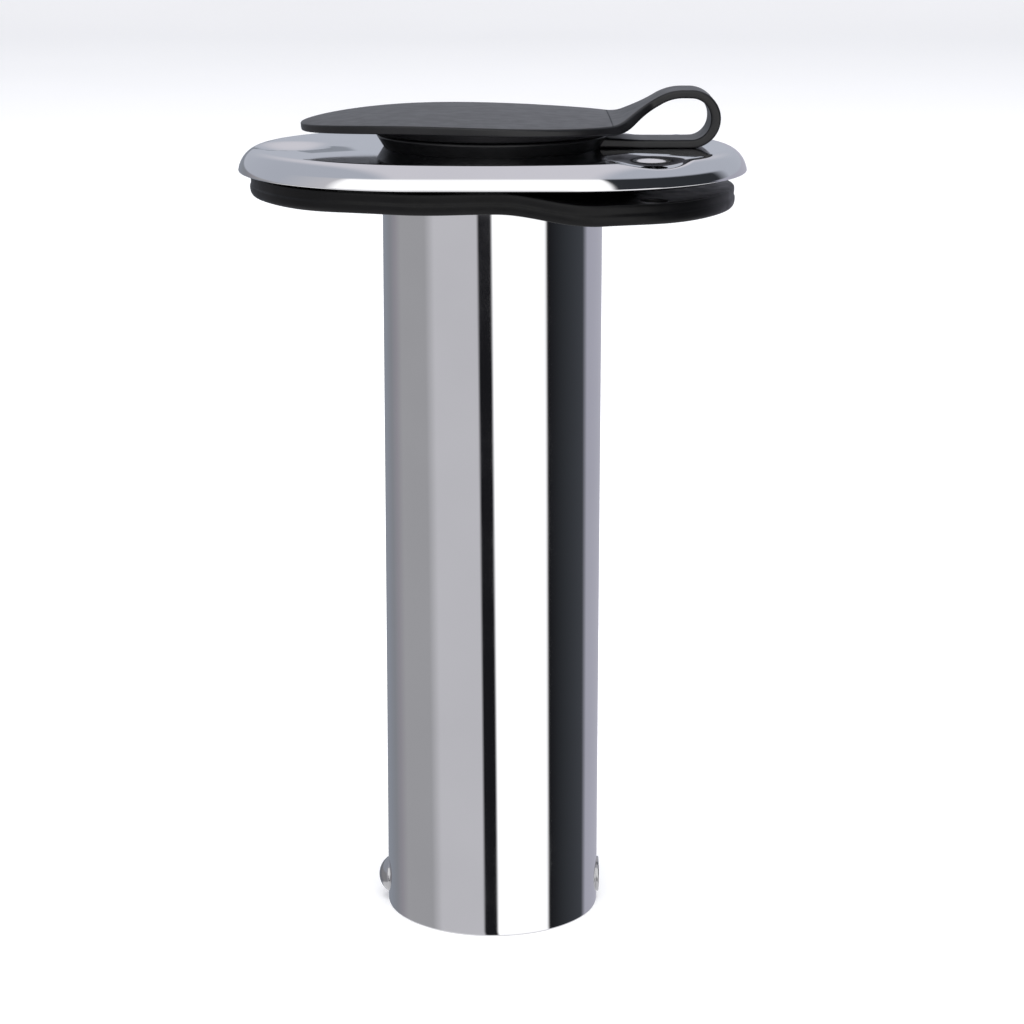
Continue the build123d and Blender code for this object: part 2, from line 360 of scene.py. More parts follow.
def faced(name, vertices, faces, corner_normals):
    """A piece with a stated normal at each face corner; each face is turned to agree with its own normals."""
    vertices = np.asarray(vertices, float)
    fixed, normals, at = [], [], 0
    for face in faces:
        wanted = corner_normals[at:at + len(face)]
        at += len(face)
        p = vertices[list(face)]
        way = np.cross(p[1] - p[0], p[2] - p[0])
        if float(way @ np.sum(wanted, axis=0)) < 0:
            face, wanted = face[::-1], wanted[::-1]
        fixed.append(face)
        normals.extend(tuple(float(c) for c in n) for n in wanted)
    mesh = bpy.data.meshes.new(name)
    mesh.from_pydata(vertices.tolist(), [], fixed)
    mesh.update()
    mesh.polygons.foreach_set("use_smooth", [True] * len(mesh.polygons))
    mesh.normals_split_custom_set(normals)
    piece = bpy.data.objects.new(name, mesh)
    bpy.context.scene.collection.objects.link(piece)
    return piece


# Cap moulding: one rubber sheet runs from the cap's nose over the cap, round the loop and back to the collar

CAP_NOSE = -cap_low.x
CAP_HALF_WIDTH = cap_high.y
NECK_X = cap_high.x
NECK_HALF_WIDTH = strap_high.y
NECK_TAPER = 1.33
STRAP_HALF_WIDTH = 6.3 * MM
FLARE_END_X = 37 * MM
NOSE_TOP, CROWN_TOP, NECK_TOP = 5.6 * MM, 7.3 * MM, 6.45 * MM
CROWN_X = -15 * MM
NOSE_SLOPE = 0.16
LOOP_RADIUS, SHOULDER_RADIUS, NECK_BEND_RADIUS = 5.67 * MM, 11 * MM, 8.45 * MM
LOOP_CENTRE_X = 45.4 * MM
LOOP_TOP_RUN, UPPER_LEG_RUN = 1.9 * MM, 8.4 * MM
UPPER_LEG_SLOPE = math.radians(30)
COLLAR_END_X = 23.5 * MM
NECK_BEND_X = (LOOP_CENTRE_X - LOOP_TOP_RUN - UPPER_LEG_RUN * math.cos(UPPER_LEG_SLOPE)
               - (SHOULDER_RADIUS + NECK_BEND_RADIUS) * math.sin(UPPER_LEG_SLOPE))


def hermite(t, p0, p1, m0, m1):
    """A cubic from p0 to p1 with the slopes m0 and m1 at its ends."""
    t = np.asarray(t, float)
    return ((2 * t**3 - 3 * t**2 + 1) * p0 + (t**3 - 2 * t**2 + t) * m0
            + (-2 * t**3 + 3 * t**2) * p1 + (t**3 - t**2) * m1)


def arch_top(x):
    """Height of the cap's upper surface above the flange, from the nose over the crown to the neck."""
    front, back = CROWN_X + CAP_NOSE, NECK_X - CROWN_X
    rising = hermite(np.clip((x + CAP_NOSE) / front, 0, 1), NOSE_TOP, CROWN_TOP, NOSE_SLOPE * front * 0.75, 0)
    falling = hermite(np.clip((x - CROWN_X) / back, 0, 1), CROWN_TOP, NECK_TOP, 0, 0)
    return np.where(x < CROWN_X, rising, falling)


def sheet_path(step=0.1 * MM):
    """The middle of the sheet in the XZ plane, from nose to collar: (points, headings, lengths along it)."""
    xs = np.arange(-CAP_NOSE, NECK_BEND_X, step)
    points = [(x, z) for x, z in zip(xs, DECK_TOP + arch_top(xs) - PLATE / 2)]
    x, z, heading = NECK_BEND_X, DECK_TOP + NECK_TOP - PLATE / 2, 0.0
    turns = [(NECK_BEND_RADIUS, UPPER_LEG_SLOPE), (0, UPPER_LEG_RUN), (SHOULDER_RADIUS, -UPPER_LEG_SLOPE),
             (0, LOOP_TOP_RUN), (LOOP_RADIUS, -math.pi), (0, LOOP_CENTRE_X - COLLAR_END_X)]
    for radius, amount in turns:
        length = radius * abs(amount) if radius else amount
        count = max(2, round(length / step))
        for _ in range(count):
            points.append((x, z))
            bend = amount / count if radius else 0.0
            heading += bend / 2
            x, z = x + math.cos(heading) * length / count, z + math.sin(heading) * length / count
            heading += bend / 2
    points.append((x, z))
    points = np.array(points)
    along = np.r_[0, np.cumsum(np.linalg.norm(np.diff(points, axis=0), axis=1))]
    slopes = np.unwrap(np.arctan2(np.gradient(points[:, 1], along), np.gradient(points[:, 0], along)))
    return points, slopes, along


def sheet_outline(neck_at, flare_end_at, end_at):
    """(distance along, half width) from the nose to the collar, closest together where the width changes."""
    turn = np.linspace(0, math.pi / 2, 56)
    nose = np.c_[CAP_NOSE * (1 - np.cos(turn)), CAP_HALF_WIDTH * np.sin(turn)]
    middle, t = CAP_NOSE, np.linspace(0, 1, 28)[1:]
    pull = (neck_at - middle) * 1.12
    lean = pull / math.hypot(1, NECK_TAPER)
    side = np.c_[hermite(t, middle, neck_at, pull, lean),
                 hermite(t, CAP_HALF_WIDTH, NECK_HALF_WIDTH, 0, -lean * NECK_TAPER)]
    reach = flare_end_at - neck_at
    lean = reach * 1.5 / math.hypot(1, NECK_TAPER)
    flare = np.c_[hermite(t, neck_at, flare_end_at, lean, reach * 0.9),
                  hermite(t, NECK_HALF_WIDTH, STRAP_HALF_WIDTH, -lean * NECK_TAPER, 0)]
    lengths = np.linspace(flare_end_at, end_at, 110)[1:]
    strap = np.c_[lengths, np.full(len(lengths), STRAP_HALF_WIDTH)]
    return np.vstack([nose, side, flare, strap]), len(nose) + len(side) - 1


def sheet_thickness(along, neck_at, bend_at, end_at):
    """Thin at the nose, thicker at the neck, the outer bend and the collar."""
    thick = 1.8 * MM + 0.1 * MM * smooth_step(along, 0, 16 * MM)
    thick = thick + 0.55 * MM * np.exp(-((along - neck_at - 3 * MM) / (4 * MM)) ** 2)
    thick = thick + 0.4 * MM * np.exp(-((along - bend_at) / (6 * MM)) ** 2)
    return thick + 0.5 * MM * smooth_step(along, end_at - 12 * MM, end_at)


def sheet_loops():
    """The moulding as a row of closed loops across it: (points, the neck's loop, each loop's weight)."""
    path, slopes, lengths = sheet_path()
    far = int(np.argmax(path[:, 0]))
    neck_at, flare_end_at = np.interp((NECK_X, FLARE_END_X), path[:far, 0], lengths[:far])
    bend_at = lengths[far]
    outline, neck = sheet_outline(neck_at, flare_end_at, lengths[-1])
    ways = np.gradient(outline, axis=0)
    ways[0] = (0, 1)
    ways /= np.linalg.norm(ways, axis=1, keepdims=True)
    outward = np.c_[-ways[:, 1], ways[:, 0]]
    thick = sheet_thickness(outline[:, 0], neck_at, bend_at, lengths[-1])
    soft = 0.32 * MM + 0.3 * MM * smooth_step(outline[:, 0], 0, flare_end_at)
    crown = 0.35 * MM * (1 - smooth_step(outline[:, 0], neck_at - 8 * MM, flare_end_at))
    arcs = np.linspace(0, math.pi / 2, 6)
    loops = []
    for (s, w), (ns, nw), t, r, c in zip(outline, outward, thick, soft, crown):
        rim = [(r * (1 - math.sin(a)), PLATE / 2 - r * (1 - math.cos(a))) for a in arcs]
        rim += [(r * (1 - math.cos(a)), PLATE / 2 - t + r * (1 - math.sin(a))) for a in arcs]
        right = [(s - ns * inset, w - nw * inset, n) for inset, n in rim]
        left = [(a, -b, n) for a, b, n in right]
        across = np.linspace(-1, 1, 19)[1:-1]
        start, end = right[0], right[-1]
        top = [(start[0], start[1] * f, start[2] + c * (1 - f * f) * min(1, w / (8 * MM))) for f in across]
        bottom = [(end[0], -end[1] * f, end[2]) for f in across]
        loops.append(top + right + bottom + left[::-1])
    flat = np.array(loops)
    s, y, n = flat[..., 0], flat[..., 1], flat[..., 2]
    x, z = np.interp(s, lengths, path[:, 0]), np.interp(s, lengths, path[:, 1])
    slope = np.interp(s, lengths, slopes)
    points = np.stack([x - np.sin(slope) * n, y, z + np.cos(slope) * n], -1)
    reach = np.clip((lengths[-1] - outline[:, 0]) / (lengths[-1] - neck_at), 0, 1)
    return points, neck, reach


def loop_faces(first, last, count):
    """The quads that join each closed loop of count points to the next."""
    faces = []
    for i in range(first, last):
        for j in range(count):
            k = (j + 1) % count
            faces.append((i * count + j, (i + 1) * count + j, (i + 1) * count + k, i * count + k))
    return faces


def make_sheet_parts():
    """The cap's plate and the strap, cut at the neck with the same edge and normals on both sides."""
    points, neck, reach = sheet_loops()
    count = points.shape[1]
    vertices = points.reshape(-1, 3)
    keys = np.round(vertices / SAME_PLACE).astype(np.int64)
    _, first, index = np.unique(keys, axis=0, return_index=True, return_inverse=True)
    index = index.ravel()
    faces = loop_faces(0, len(points) - 1, count)
    normals = area_normals(vertices[first], [tuple(index[list(face)]) for face in faces])[index]
    parts = []
    for a, b in ((0, neck), (neck, len(points) - 1)):
        ends = [tuple(range((b - a) * count, (b - a + 1) * count))[::-1]]
        if a:
            ends.append(tuple(range(count)))
        chosen = slice(a * count, (b + 1) * count)
        parts.append((vertices[chosen], loop_faces(0, b - a, count) + ends, normals[chosen]))
    return merged(*parts[0]), parts[1], np.repeat(reach[neck:], count)


# Boss and plug below the cap's plate

BOSS_BOTTOM, BOSS_RADIUS, BOSS_TOP_RADIUS = 3.6 * MM, 28.3 * MM, 29.6 * MM
BOSS_TOP, BOSS_FLARE = 9 * MM, 1.7 * MM
PLUG_TOP_RADIUS, PLUG_END_RADIUS, PLUG_WALL = 21.5 * MM, 20 * MM, 2.2 * MM


def plan_radius(angle):
    """How far the cap's outline is from the tube's axis, by angle from the strap's side."""
    c, s = abs(math.cos(angle)), abs(math.sin(angle))
    if math.cos(angle) < 0:
        return 1 / math.hypot(c / CAP_NOSE, s / CAP_HALF_WIDTH)
    neck_angle = math.atan2(NECK_HALF_WIDTH, NECK_X)
    shrink = smooth_step(math.atan2(c, s), math.pi / 5, math.pi / 2 - neck_angle)
    side = CAP_HALF_WIDTH + (math.hypot(NECK_X, NECK_HALF_WIDTH) * 0.97 - CAP_HALF_WIDTH) * shrink
    return min(side, NECK_X / max(c, s, 0.1) if c > s else side)


def boss_shape(angle, radius, height):
    """Keeps the boss inside the cap's outline, and carries its hidden top into the plate."""
    limit = plan_radius(angle) - 1.1 * MM * smooth_step(math.cos(angle), 0.0, 0.4)
    radius = min(radius, limit)
    if height >= DECK_TOP + BOSS_TOP:
        height = DECK_TOP + float(arch_top(radius * math.cos(angle))) - PLATE * 0.6
    return radius, height


def make_plug_part():
    """A round boss below the plate, with a hollow tapered plug below it."""
    low, top, end = DECK_TOP + BOSS_BOTTOM, DECK_TOP + BOSS_TOP, cap_low.z
    corners = [
        (0, low, 0), (PLUG_TOP_RADIUS - PLUG_WALL, low, 0.8 * MM),
        (PLUG_END_RADIUS - PLUG_WALL, end, 0.7 * MM), (PLUG_END_RADIUS, end, 0.7 * MM),
        (PLUG_TOP_RADIUS, low, 0.4 * MM), (BOSS_RADIUS, low, 0.5 * MM),
        (BOSS_TOP_RADIUS, low + BOSS_FLARE, 0.3 * MM), (BOSS_TOP_RADIUS, top, 0),
        (BOSS_TOP_RADIUS * 0.5, top, 0), (0, top, 0),
    ]
    return turned(corners, 256, boss_shape)


# Gasket

GASKET_INSET = flange_high.y - gasket_high.y
GASKET_TUBE_HOLE, GASKET_SCREW_HOLE = 29 * MM, 3.1 * MM
SAG, SAG_WAVE, SAG_START, SAG_END = 2.7 * MM, 0.25 * MM, 1 * MM, 24 * MM
HELD_START, HELD_END = 2 * MM, 8 * MM


def gasket_sag(x):
    """How far the loose gasket hangs below the flange at the strap's end, with a slight waviness."""
    return SAG * smooth_step(x, SAG_START, SAG_END) + SAG_WAVE * np.sin(x / (9 * MM)) ** 2


def make_gasket():
    """A soft pad with a hollowed upper edge and a rounded lower lip, sagging at one end."""
    thick = gasket_high.z
    edge = [(0.7, thick), (0.4, thick - 0.08 * MM), (0.2, thick - 0.3 * MM), (0.16, thick - 0.8 * MM),
            (0.22, 3.2 * MM), (0.25, 2.8 * MM), (0.22, 2.5 * MM), (0.1, 2.3 * MM), (0.03, 2.15 * MM),
            (0, 1.9 * MM), (0.01, 1.55 * MM), (0.06, 1.15 * MM), (0.16, 0.75 * MM), (0.32, 0.4 * MM),
            (0.5, 0.16 * MM), (0.66, 0.04 * MM), (0.8, 0)]
    hole = [(0.12, thick), (0, thick - 0.15 * MM), (0, 0.15 * MM), (0.12, 0)]
    vertices, faces, tops, bottoms = [], [], [], []
    for number in range(5):
        rows = edge if number == 0 else hole
        starts = []
        for inset, z in rows:
            if number == 0:
                ring = oval_loop(GASKET_INSET + inset * MM)
            elif number == 1:
                ring = circle(0, 0, GASKET_TUBE_HOLE + inset * MM, 192)
            else:
                ring = circle(*SCREWS[number - 2], GASKET_SCREW_HOLE + inset * MM, 64)
            starts.append(len(vertices))
            vertices.extend((x, y, z) for x, y in ring)
        count = len(ring)
        for upper, lower in zip(starts, starts[1:]):
            for i in range(count):
                j = (i + 1) % count
                quad = (upper + i, lower + i, lower + j, upper + j)
                faces.append(quad if number == 0 else quad[::-1])
        tops.append(range(starts[0], starts[0] + count))
        bottoms.append(range(starts[-1], starts[-1] + count))
    fill = [oval_loop(GASKET_INSET + inset * MM, 200) for inset in (3.2, 5.5, 8)]
    fill += [circle(0, 0, GASKET_TUBE_HOLE + gap * MM, 120) for gap in (1.5, 4, 8)]
    fill = np.vstack(fill)
    clear = np.hypot(fill[:, 0], fill[:, 1]) > GASKET_TUBE_HOLE + 1 * MM
    clear &= edge_distance(fill[:, 0], fill[:, 1]) > GASKET_INSET + 2.5 * MM
    for sx, sy in SCREWS:
        clear &= np.hypot(fill[:, 0] - sx, fill[:, 1] - sy) > GASKET_SCREW_HOLE + 0.8 * MM
    fill = fill[clear]
    plan = np.array(vertices)
    for rings, z, up in ((tops, thick, True), (bottoms, 0.0, False)):
        found, flat, order = triangles([plan[list(ring)][:, :2] for ring in rings], fill)
        known = [v for ring in rings for v in ring]
        index = []
        for place, source in zip(found, order):
            if 0 <= source < len(known):
                index.append(known[source])
            else:
                index.append(len(vertices))
                vertices.append((place[0], place[1], z))
        for face in flat:
            corners = tuple(index[v] for v in face)
            faces.append(corners if up else corners[::-1])
    vertices = np.array(vertices)
    # Round the tube the upper face stays up against the flange.
    from_axis = np.hypot(vertices[:, 0], vertices[:, 1])
    held = 1 - smooth_step(from_axis, GASKET_TUBE_HOLE + HELD_START, GASKET_TUBE_HOLE + HELD_END)
    held = held * smooth_step(vertices[:, 2], thick * 0.5, thick * 0.9)
    vertices[:, 2] -= gasket_sag(vertices[:, 0]) * (1 - held)
    return shaded("gasket_pad", (vertices, faces))


# Turned pieces

# The tube's wall is finely divided this far above and below the pin. The bar that cuts the holes is rolled a
# little, so that none of its corners falls on a corner of the wall.
FINE_WALL, FINE_STEP = 5.1 * MM, 0.485 * MM
BAR_ROLL = 0.03
MERGE_DISTANCE = 0.0005 * MM


def stepped(start, end, step):
    """Heights from start to end, both left out, a step apart."""
    count = max(2, round(abs(end - start) / step))
    return [start + (end - start) * i / count for i in range(1, count)]


def cut_away(piece, tool):
    """Takes one piece's shape out of another and removes the tool."""
    cut = piece.modifiers.new("cut", "BOOLEAN")
    cut.object, cut.operation, cut.solver = tool, "DIFFERENCE", "EXACT"
    bpy.context.view_layer.update()
    shape = bmesh.new()
    shape.from_mesh(piece.evaluated_get(bpy.context.evaluated_depsgraph_get()).to_mesh())
    bmesh.ops.remove_doubles(shape, verts=shape.verts, dist=MERGE_DISTANCE)
    bmesh.ops.triangulate(shape, faces=[face for face in shape.faces if len(face.verts) > 4])
    shape.verts.index_update()
    vertices = np.array([vertex.co for vertex in shape.verts])
    faces = [tuple(vertex.index for vertex in face.verts) for face in shape.faces]
    shape.free()
    name = piece.name
    for used in (piece, tool):
        bpy.data.objects.remove(used)
    return shaded(name, (vertices, faces))


def along_x(part, z, roll=0.0):
    """A part turned about Z, rolled about its axis and laid along X at a height."""
    x, y, along = np.asarray(part[0]).T
    c, s = math.cos(roll), math.sin(roll)
    return np.c_[along, s * x + c * y, z - (c * x - s * y)], part[1]


def make_tube():
    """A plain tube with softened lips; the pin's cross holes are cut where the wall is finely divided."""
    low, top = tube_low.z, DECK_TOP
    near = stepped(PIN_Z + FINE_WALL, PIN_Z - FINE_WALL, FINE_STEP)
    outer = [(TUBE_RADIUS, z, 0) for z in (top - 0.02 * MM, *near)]
    inner = [(TUBE_BORE, z, 0) for z in reversed((top - 0.02 * MM, *near))]
    corners = [(TUBE_RADIUS, top, 0), *outer, (TUBE_RADIUS, low, 0.35 * MM), (TUBE_BORE, low, 0.35 * MM),
               *inner, (TUBE_BORE, top, 0)]
    tube = shaded("tube_wall", turned(corners, 288))
    reach = TUBE_RADIUS * 1.5
    bar = turned([(0, -reach, 0), (PIN_RADIUS, -reach, 0), (PIN_RADIUS, reach, 0), (0, reach, 0)], 48)
    return cut_away(tube, shaded("pin_hole", along_x(bar, PIN_Z, BAR_ROLL)))


def make_pin():
    """A rivet: a domed head on the nose's side, and a low flattened tail on the strap's side."""
    rise = -TUBE_RADIUS - pin_low.x
    ball = (PIN_HEAD_RADIUS**2 + rise**2) / (2 * rise)
    widest = math.asin(PIN_HEAD_RADIUS / ball)
    turns = np.linspace(0, widest * 0.97, 14)
    dome = [(ball * math.sin(a), pin_low.x + ball * (1 - math.cos(a)), 0) for a in turns]
    seat, tail = TUBE_RADIUS - 0.9 * MM, pin_high.x
    corners = dome + [
        (PIN_HEAD_RADIUS, -TUBE_RADIUS + 0.12 * MM, 0), (PIN_HEAD_RADIUS, -seat, 0), (PIN_RADIUS, -seat, 0),
        (PIN_RADIUS, seat, 0), (PIN_HEAD_RADIUS, seat, 0), (PIN_HEAD_RADIUS, tail, 0.3 * MM),
        (PIN_HEAD_RADIUS * 0.55, tail, 0), (0, tail - 0.05 * MM, 0),
    ]
    return shaded("pin_rivet", along_x(turned(corners, 96), PIN_Z))


def make_liner():
    """A plain sleeve inside the tube, with a lead-in at its lower end."""
    low, top = liner_low.z, liner_high.z
    return shaded("liner_sleeve", turned([
        (LINER_BORE, top, 0.3 * MM), (LINER_BORE, low + 1 * MM, 0.6 * MM),
        (LINER_BORE + 1 * MM, low, 0.4 * MM), (TUBE_BORE, low, 0.3 * MM), (TUBE_BORE, top, 0.2 * MM),
    ]))


MOUTH_RADIUS, MOUTH_LEAD_IN = 21.9 * MM, 0.7 * MM
COLLAR_BASE_RADIUS = 25 * MM


def make_collar():
    """An inverted cone with soft lips that stands on the flange, and its spigot down the tube's mouth."""
    top = collar_high.z
    return shaded("collar_cone", turned([
        (MOUTH_RADIUS, collar_low.z, 0.3 * MM), (TUBE_BORE, collar_low.z, 0.3 * MM),
        (TUBE_BORE, DECK_TOP, 0),
        (COLLAR_BASE_RADIUS, DECK_TOP, 0.15 * MM), (collar_high.x, top, 0.45 * MM),
        (MOUTH_RADIUS + MOUTH_LEAD_IN, top, 0.4 * MM), (MOUTH_RADIUS, top - MOUTH_LEAD_IN, 0.4 * MM),
    ], 256))


WELD_RIPPLES = 84


def weld_ripple(angle, radius, height):
    """Small even ridges round the bead, strongest on its face."""
    on_face = smooth_step(math.hypot(weld_high.x - radius, flange_low.z - height), 0.4 * MM, 1.6 * MM)
    lift = 0.14 * MM * on_face * math.cos(WELD_RIPPLES * angle + 2.5 * height / MM)
    return radius + lift, height - lift


def make_weld():
    """A ring of weld between the tube and the flange, with a slightly hollow face."""
    bottom, outer, base = weld_low.z, weld_high.x, flange_low.z
    face = [(TUBE_RADIUS, bottom), (TUBE_RADIUS + 1.3 * MM, bottom + 0.45 * MM),
            (TUBE_RADIUS + 2.3 * MM, bottom + 1.3 * MM), (outer, base)]
    corners = [(TUBE_RADIUS, base, 0)] + [(r, z, 0) for r, z in face]
    return shaded("weld_ring", turned(corners, 672, weld_ripple))


# Materials

def shader(name, colour, roughness, **sockets):
    """A Principled material with constant sockets set directly: (material, nodes, links, shader node)."""
    material = bpy.data.materials.new(name)
    material.use_nodes = True
    nodes, links = material.node_tree.nodes, material.node_tree.links
    node = nodes["Principled BSDF"]
    node.inputs["Base Color"].default_value = (*colour, 1)
    node.inputs["Roughness"].default_value = roughness
    for socket, value in sockets.items():
        node.inputs[socket.replace("_", " ")].default_value = value
    return material, nodes, links, node


def noise(nodes, links, scale, detail=4.0, stretch=(1, 1, 1), rough=0.5):
    """A noise over the piece's own coordinates, in metres; scale is in features per metre."""
    place = nodes.new("ShaderNodeTexCoord")
    mapping = nodes.new("ShaderNodeMapping")
    mapping.inputs["Scale"].default_value = stretch
    links.new(place.outputs["Object"], mapping.inputs["Vector"])
    texture = nodes.new("ShaderNodeTexNoise")
    texture.inputs["Scale"].default_value = scale
    texture.inputs["Detail"].default_value = detail
    texture.inputs["Roughness"].default_value = rough
    links.new(mapping.outputs["Vector"], texture.inputs["Vector"])
    return texture.outputs["Fac"]


def ramp(nodes, links, factor, *stops):
    """A colour ramp from (position, value or colour) stops."""
    node = nodes.new("ShaderNodeValToRGB")
    elements = node.color_ramp.elements
    while len(elements) < len(stops):
        elements.new(0.5)
    for element, (position, value) in zip(elements, stops):
        element.position = position
        element.color = (*value, 1) if isinstance(value, tuple) else (value, value, value, 1)
    links.new(factor, node.inputs["Fac"])
    return node.outputs["Color"]


def bump(nodes, links, target, height, strength, distance, before=None):
    """A bump on top of an earlier one, joined to the target shader if there is one."""
    node = nodes.new("ShaderNodeBump")
    node.inputs["Strength"].default_value = strength
    node.inputs["Distance"].default_value = distance
    links.new(height, node.inputs["Height"])
    if before is not None:
        links.new(before, node.inputs["Normal"])
    if target is not None:
        links.new(node.outputs["Normal"], target.inputs["Normal"])
    return node.outputs["Normal"]


def polished_steel(name, stretch, haze=(0.03, 0.075), tone=1.0):
    """Mirror-polished stainless: faint polishing lines, a little haze and very slight waviness."""
    material, nodes, links, node = shader(name, (0.80, 0.80, 0.815), 0.05, Metallic=1.0)
    worn, clean = ((c * tone for c in colour) for colour in ((0.775, 0.775, 0.79), (0.815, 0.815, 0.83)))
    links.new(ramp(nodes, links, noise(nodes, links, 55, 5), (0.35, haze[0]), (0.7, haze[1])),
              node.inputs["Roughness"])
    links.new(ramp(nodes, links, noise(nodes, links, 30, 3), (0.3, tuple(worn)), (0.75, tuple(clean))),
              node.inputs["Base Color"])
    lines = bump(nodes, links, None, noise(nodes, links, 900, 3, stretch), 0.05, 0.01 * MM)
    bump(nodes, links, node, noise(nodes, links, 45, 2), 0.04, 0.06 * MM, lines)
    return material


def rubber(name, colour, low, high, grain, level=0.5):
    """Moulded rubber: a fine even grain, a little bloom and slow variation in its sheen."""
    material, nodes, links, node = shader(name, colour, (low + high) / 2, Specular_IOR_Level=level)
    links.new(ramp(nodes, links, noise(nodes, links, 300, 6), (0.3, low), (0.72, high)),
              node.inputs["Roughness"])
    bloom = tuple(c * 1.6 + 0.001 for c in colour)
    links.new(ramp(nodes, links, noise(nodes, links, 140, 8, rough=0.65), (0.42, colour), (0.8, bloom)),
              node.inputs["Base Color"])
    fine = bump(nodes, links, None, noise(nodes, links, 2600, 2), grain, 0.05 * MM)
    bump(nodes, links, node, noise(nodes, links, 260, 3), grain * 0.5, 0.08 * MM, fine)
    return material


def weld_steel():
    """Brushed weld metal with straw and blue heat tints."""
    material, nodes, links, node = shader("weld_tinted", (0.5, 0.48, 0.46), 0.34, Metallic=1.0)
    blue, plain, straw = (0.30, 0.31, 0.36), (0.52, 0.49, 0.44), (0.60, 0.52, 0.40)
    links.new(ramp(nodes, links, noise(nodes, links, 160, 4), (0.3, blue), (0.5, plain), (0.72, straw)),
              node.inputs["Base Color"])
    links.new(ramp(nodes, links, noise(nodes, links, 420, 5), (0.3, 0.25), (0.7, 0.46)),
              node.inputs["Roughness"])
    bump(nodes, links, node, noise(nodes, links, 900, 4), 0.25, 0.05 * MM)
    return material


def give(piece, material):
    """The material in the piece's first slot, and in every slot of a CAD node."""
    if not piece.material_slots:
        piece.data.materials.append(material)
    for slot in piece.material_slots:
        slot.material = material


def finish_piece(piece, material, slot, body, *nodes):
    """The piece's material, the nodes it replaces and its body. body is None for a blended piece. slot is not
    used.
    """
    give(piece, material)
    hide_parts(*nodes)
    if body is not None:
        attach(piece, body)


tube_steel = polished_steel("tube_polish", (1, 1, 0.02))
flange_steel = polished_steel("flange_polish", (0.04, 1, 1))
pin_steel = polished_steel("pin_polish", (1, 1, 1), (0.08, 0.16), 0.62)
cap_rubber = rubber("cap_moulding", (0.0065, 0.0065, 0.0075), 0.33, 0.4, 0.16, 0.42)
gasket_rubber = rubber("gasket_moulding", (0.003, 0.003, 0.0034), 0.32, 0.45, 0.2, 0.2)
liner_plastic = rubber("liner_moulding", (0.022, 0.022, 0.024), 0.42, 0.58, 0.12)

finish_piece(make_tube(), tube_steel, "polished_stainless", HOLDER, "tube")
finish_piece(make_flange(), flange_steel, "polished_stainless", HOLDER, "flange")
finish_piece(make_pin(), pin_steel, "polished_stainless", HOLDER, "gimbal_pin")
finish_piece(make_weld(), weld_steel(), "weld_metal", HOLDER, "weld_bead")
finish_piece(make_gasket(), gasket_rubber, "gasket_rubber", HOLDER, "gasket")
finish_piece(make_liner(), liner_plastic, "liner_plastic", HOLDER, "rod_liner")
finish_piece(make_collar(), cap_rubber, "cap_rubber", HOLDER, "collar_ring")
plate_part, strap_part, strap_weights = make_sheet_parts()
finish_piece(shaded("cap_cover", plate_part, make_plug_part()), cap_rubber, "cap_rubber", CAP, "cap")
strap = shaded("cap_strap_band", strap_part)
finish_piece(strap, cap_rubber, "cap_rubber", None, "cap_strap")
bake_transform(strap, HOLDER, CAP, start=(COLLAR_END_X, 0, DECK_TOP), end=(COLLAR_END_X, 0, strap_high.z))
# The strap's own length sets how far each point follows the cap, since the loop doubles back on itself.
blend = strap.data.attributes["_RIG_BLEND"]
blend.data.foreach_set("value", smooth_step(strap_weights, 0, 1).astype(np.float32))


# Studio

FLOOR_RADIUS, COVE, WALL_HEIGHT = 3.0, 2.0, 6.0
BACKDROP_SEGMENTS = 96


def make_backdrop():
    """A pale round floor at the tube's end that curves up into a wall.

    Only the camera sees it. Mirrors and soft light look past it, to the studio's reflectors.
    """
    turns = np.linspace(0, math.pi / 2, 25)
    profile = [(r, 0) for r in (0.25, 0.6, 1.2, 2)]
    profile += [(FLOOR_RADIUS + COVE * math.sin(a), COVE * (1 - math.cos(a))) for a in turns]
    profile.append((FLOOR_RADIUS + COVE, WALL_HEIGHT))
    count = BACKDROP_SEGMENTS
    vertices, faces = [(0, 0, tube_low.z)], []
    for radius, height in profile:
        vertices.extend((x, y, tube_low.z + height) for x, y in circle(0, 0, radius, count))
    for i in range(count):
        j = (i + 1) % count
        faces.append((0, 1 + i, 1 + j))
        for row in range(len(profile) - 1):
            a, b = 1 + row * count, 1 + (row + 1) * count
            faces.append((a + i, b + i, b + j, a + j))
    backdrop = shaded("backdrop", (np.array(vertices), faces))
    material, nodes, links, node = shader("backdrop_paper", (0.9, 0.9, 0.9), 0.9, Specular_IOR_Level=0.1,
                                          Emission_Color=(1, 1, 1, 1), Emission_Strength=0.15)
    links.new(ramp(nodes, links, noise(nodes, links, 3, 3), (0.3, 0.885), (0.7, 0.905)),
              node.inputs["Base Color"])
    backdrop.data.materials.append(material)
    for ray in ("glossy", "diffuse", "transmission", "shadow"):
        setattr(backdrop, f"visible_{ray}", False)


def math_node(nodes, links, operation, a, b):
    """A math node on two numbers or sockets."""
    node = nodes.new("ShaderNodeMath")
    node.operation = operation
    for socket, value in zip(node.inputs, (a, b)):
        if isinstance(value, (int, float)):
            socket.default_value = value
        else:
            links.new(value, socket)
    return node.outputs["Value"]


def blend_colours(nodes, links, factor, first, second):
    """The first colour or socket where the factor is 0, and the second where it is 1."""
    node = nodes.new("ShaderNodeMix")
    node.data_type = "RGBA"
    links.new(factor, node.inputs["Factor"])
    for name, value in (("A", first), ("B", second)):
        if isinstance(value, tuple):
            node.inputs[name].default_value = (*value, 1)
        else:
            links.new(value, node.inputs[name])
    return node.outputs["Result"]


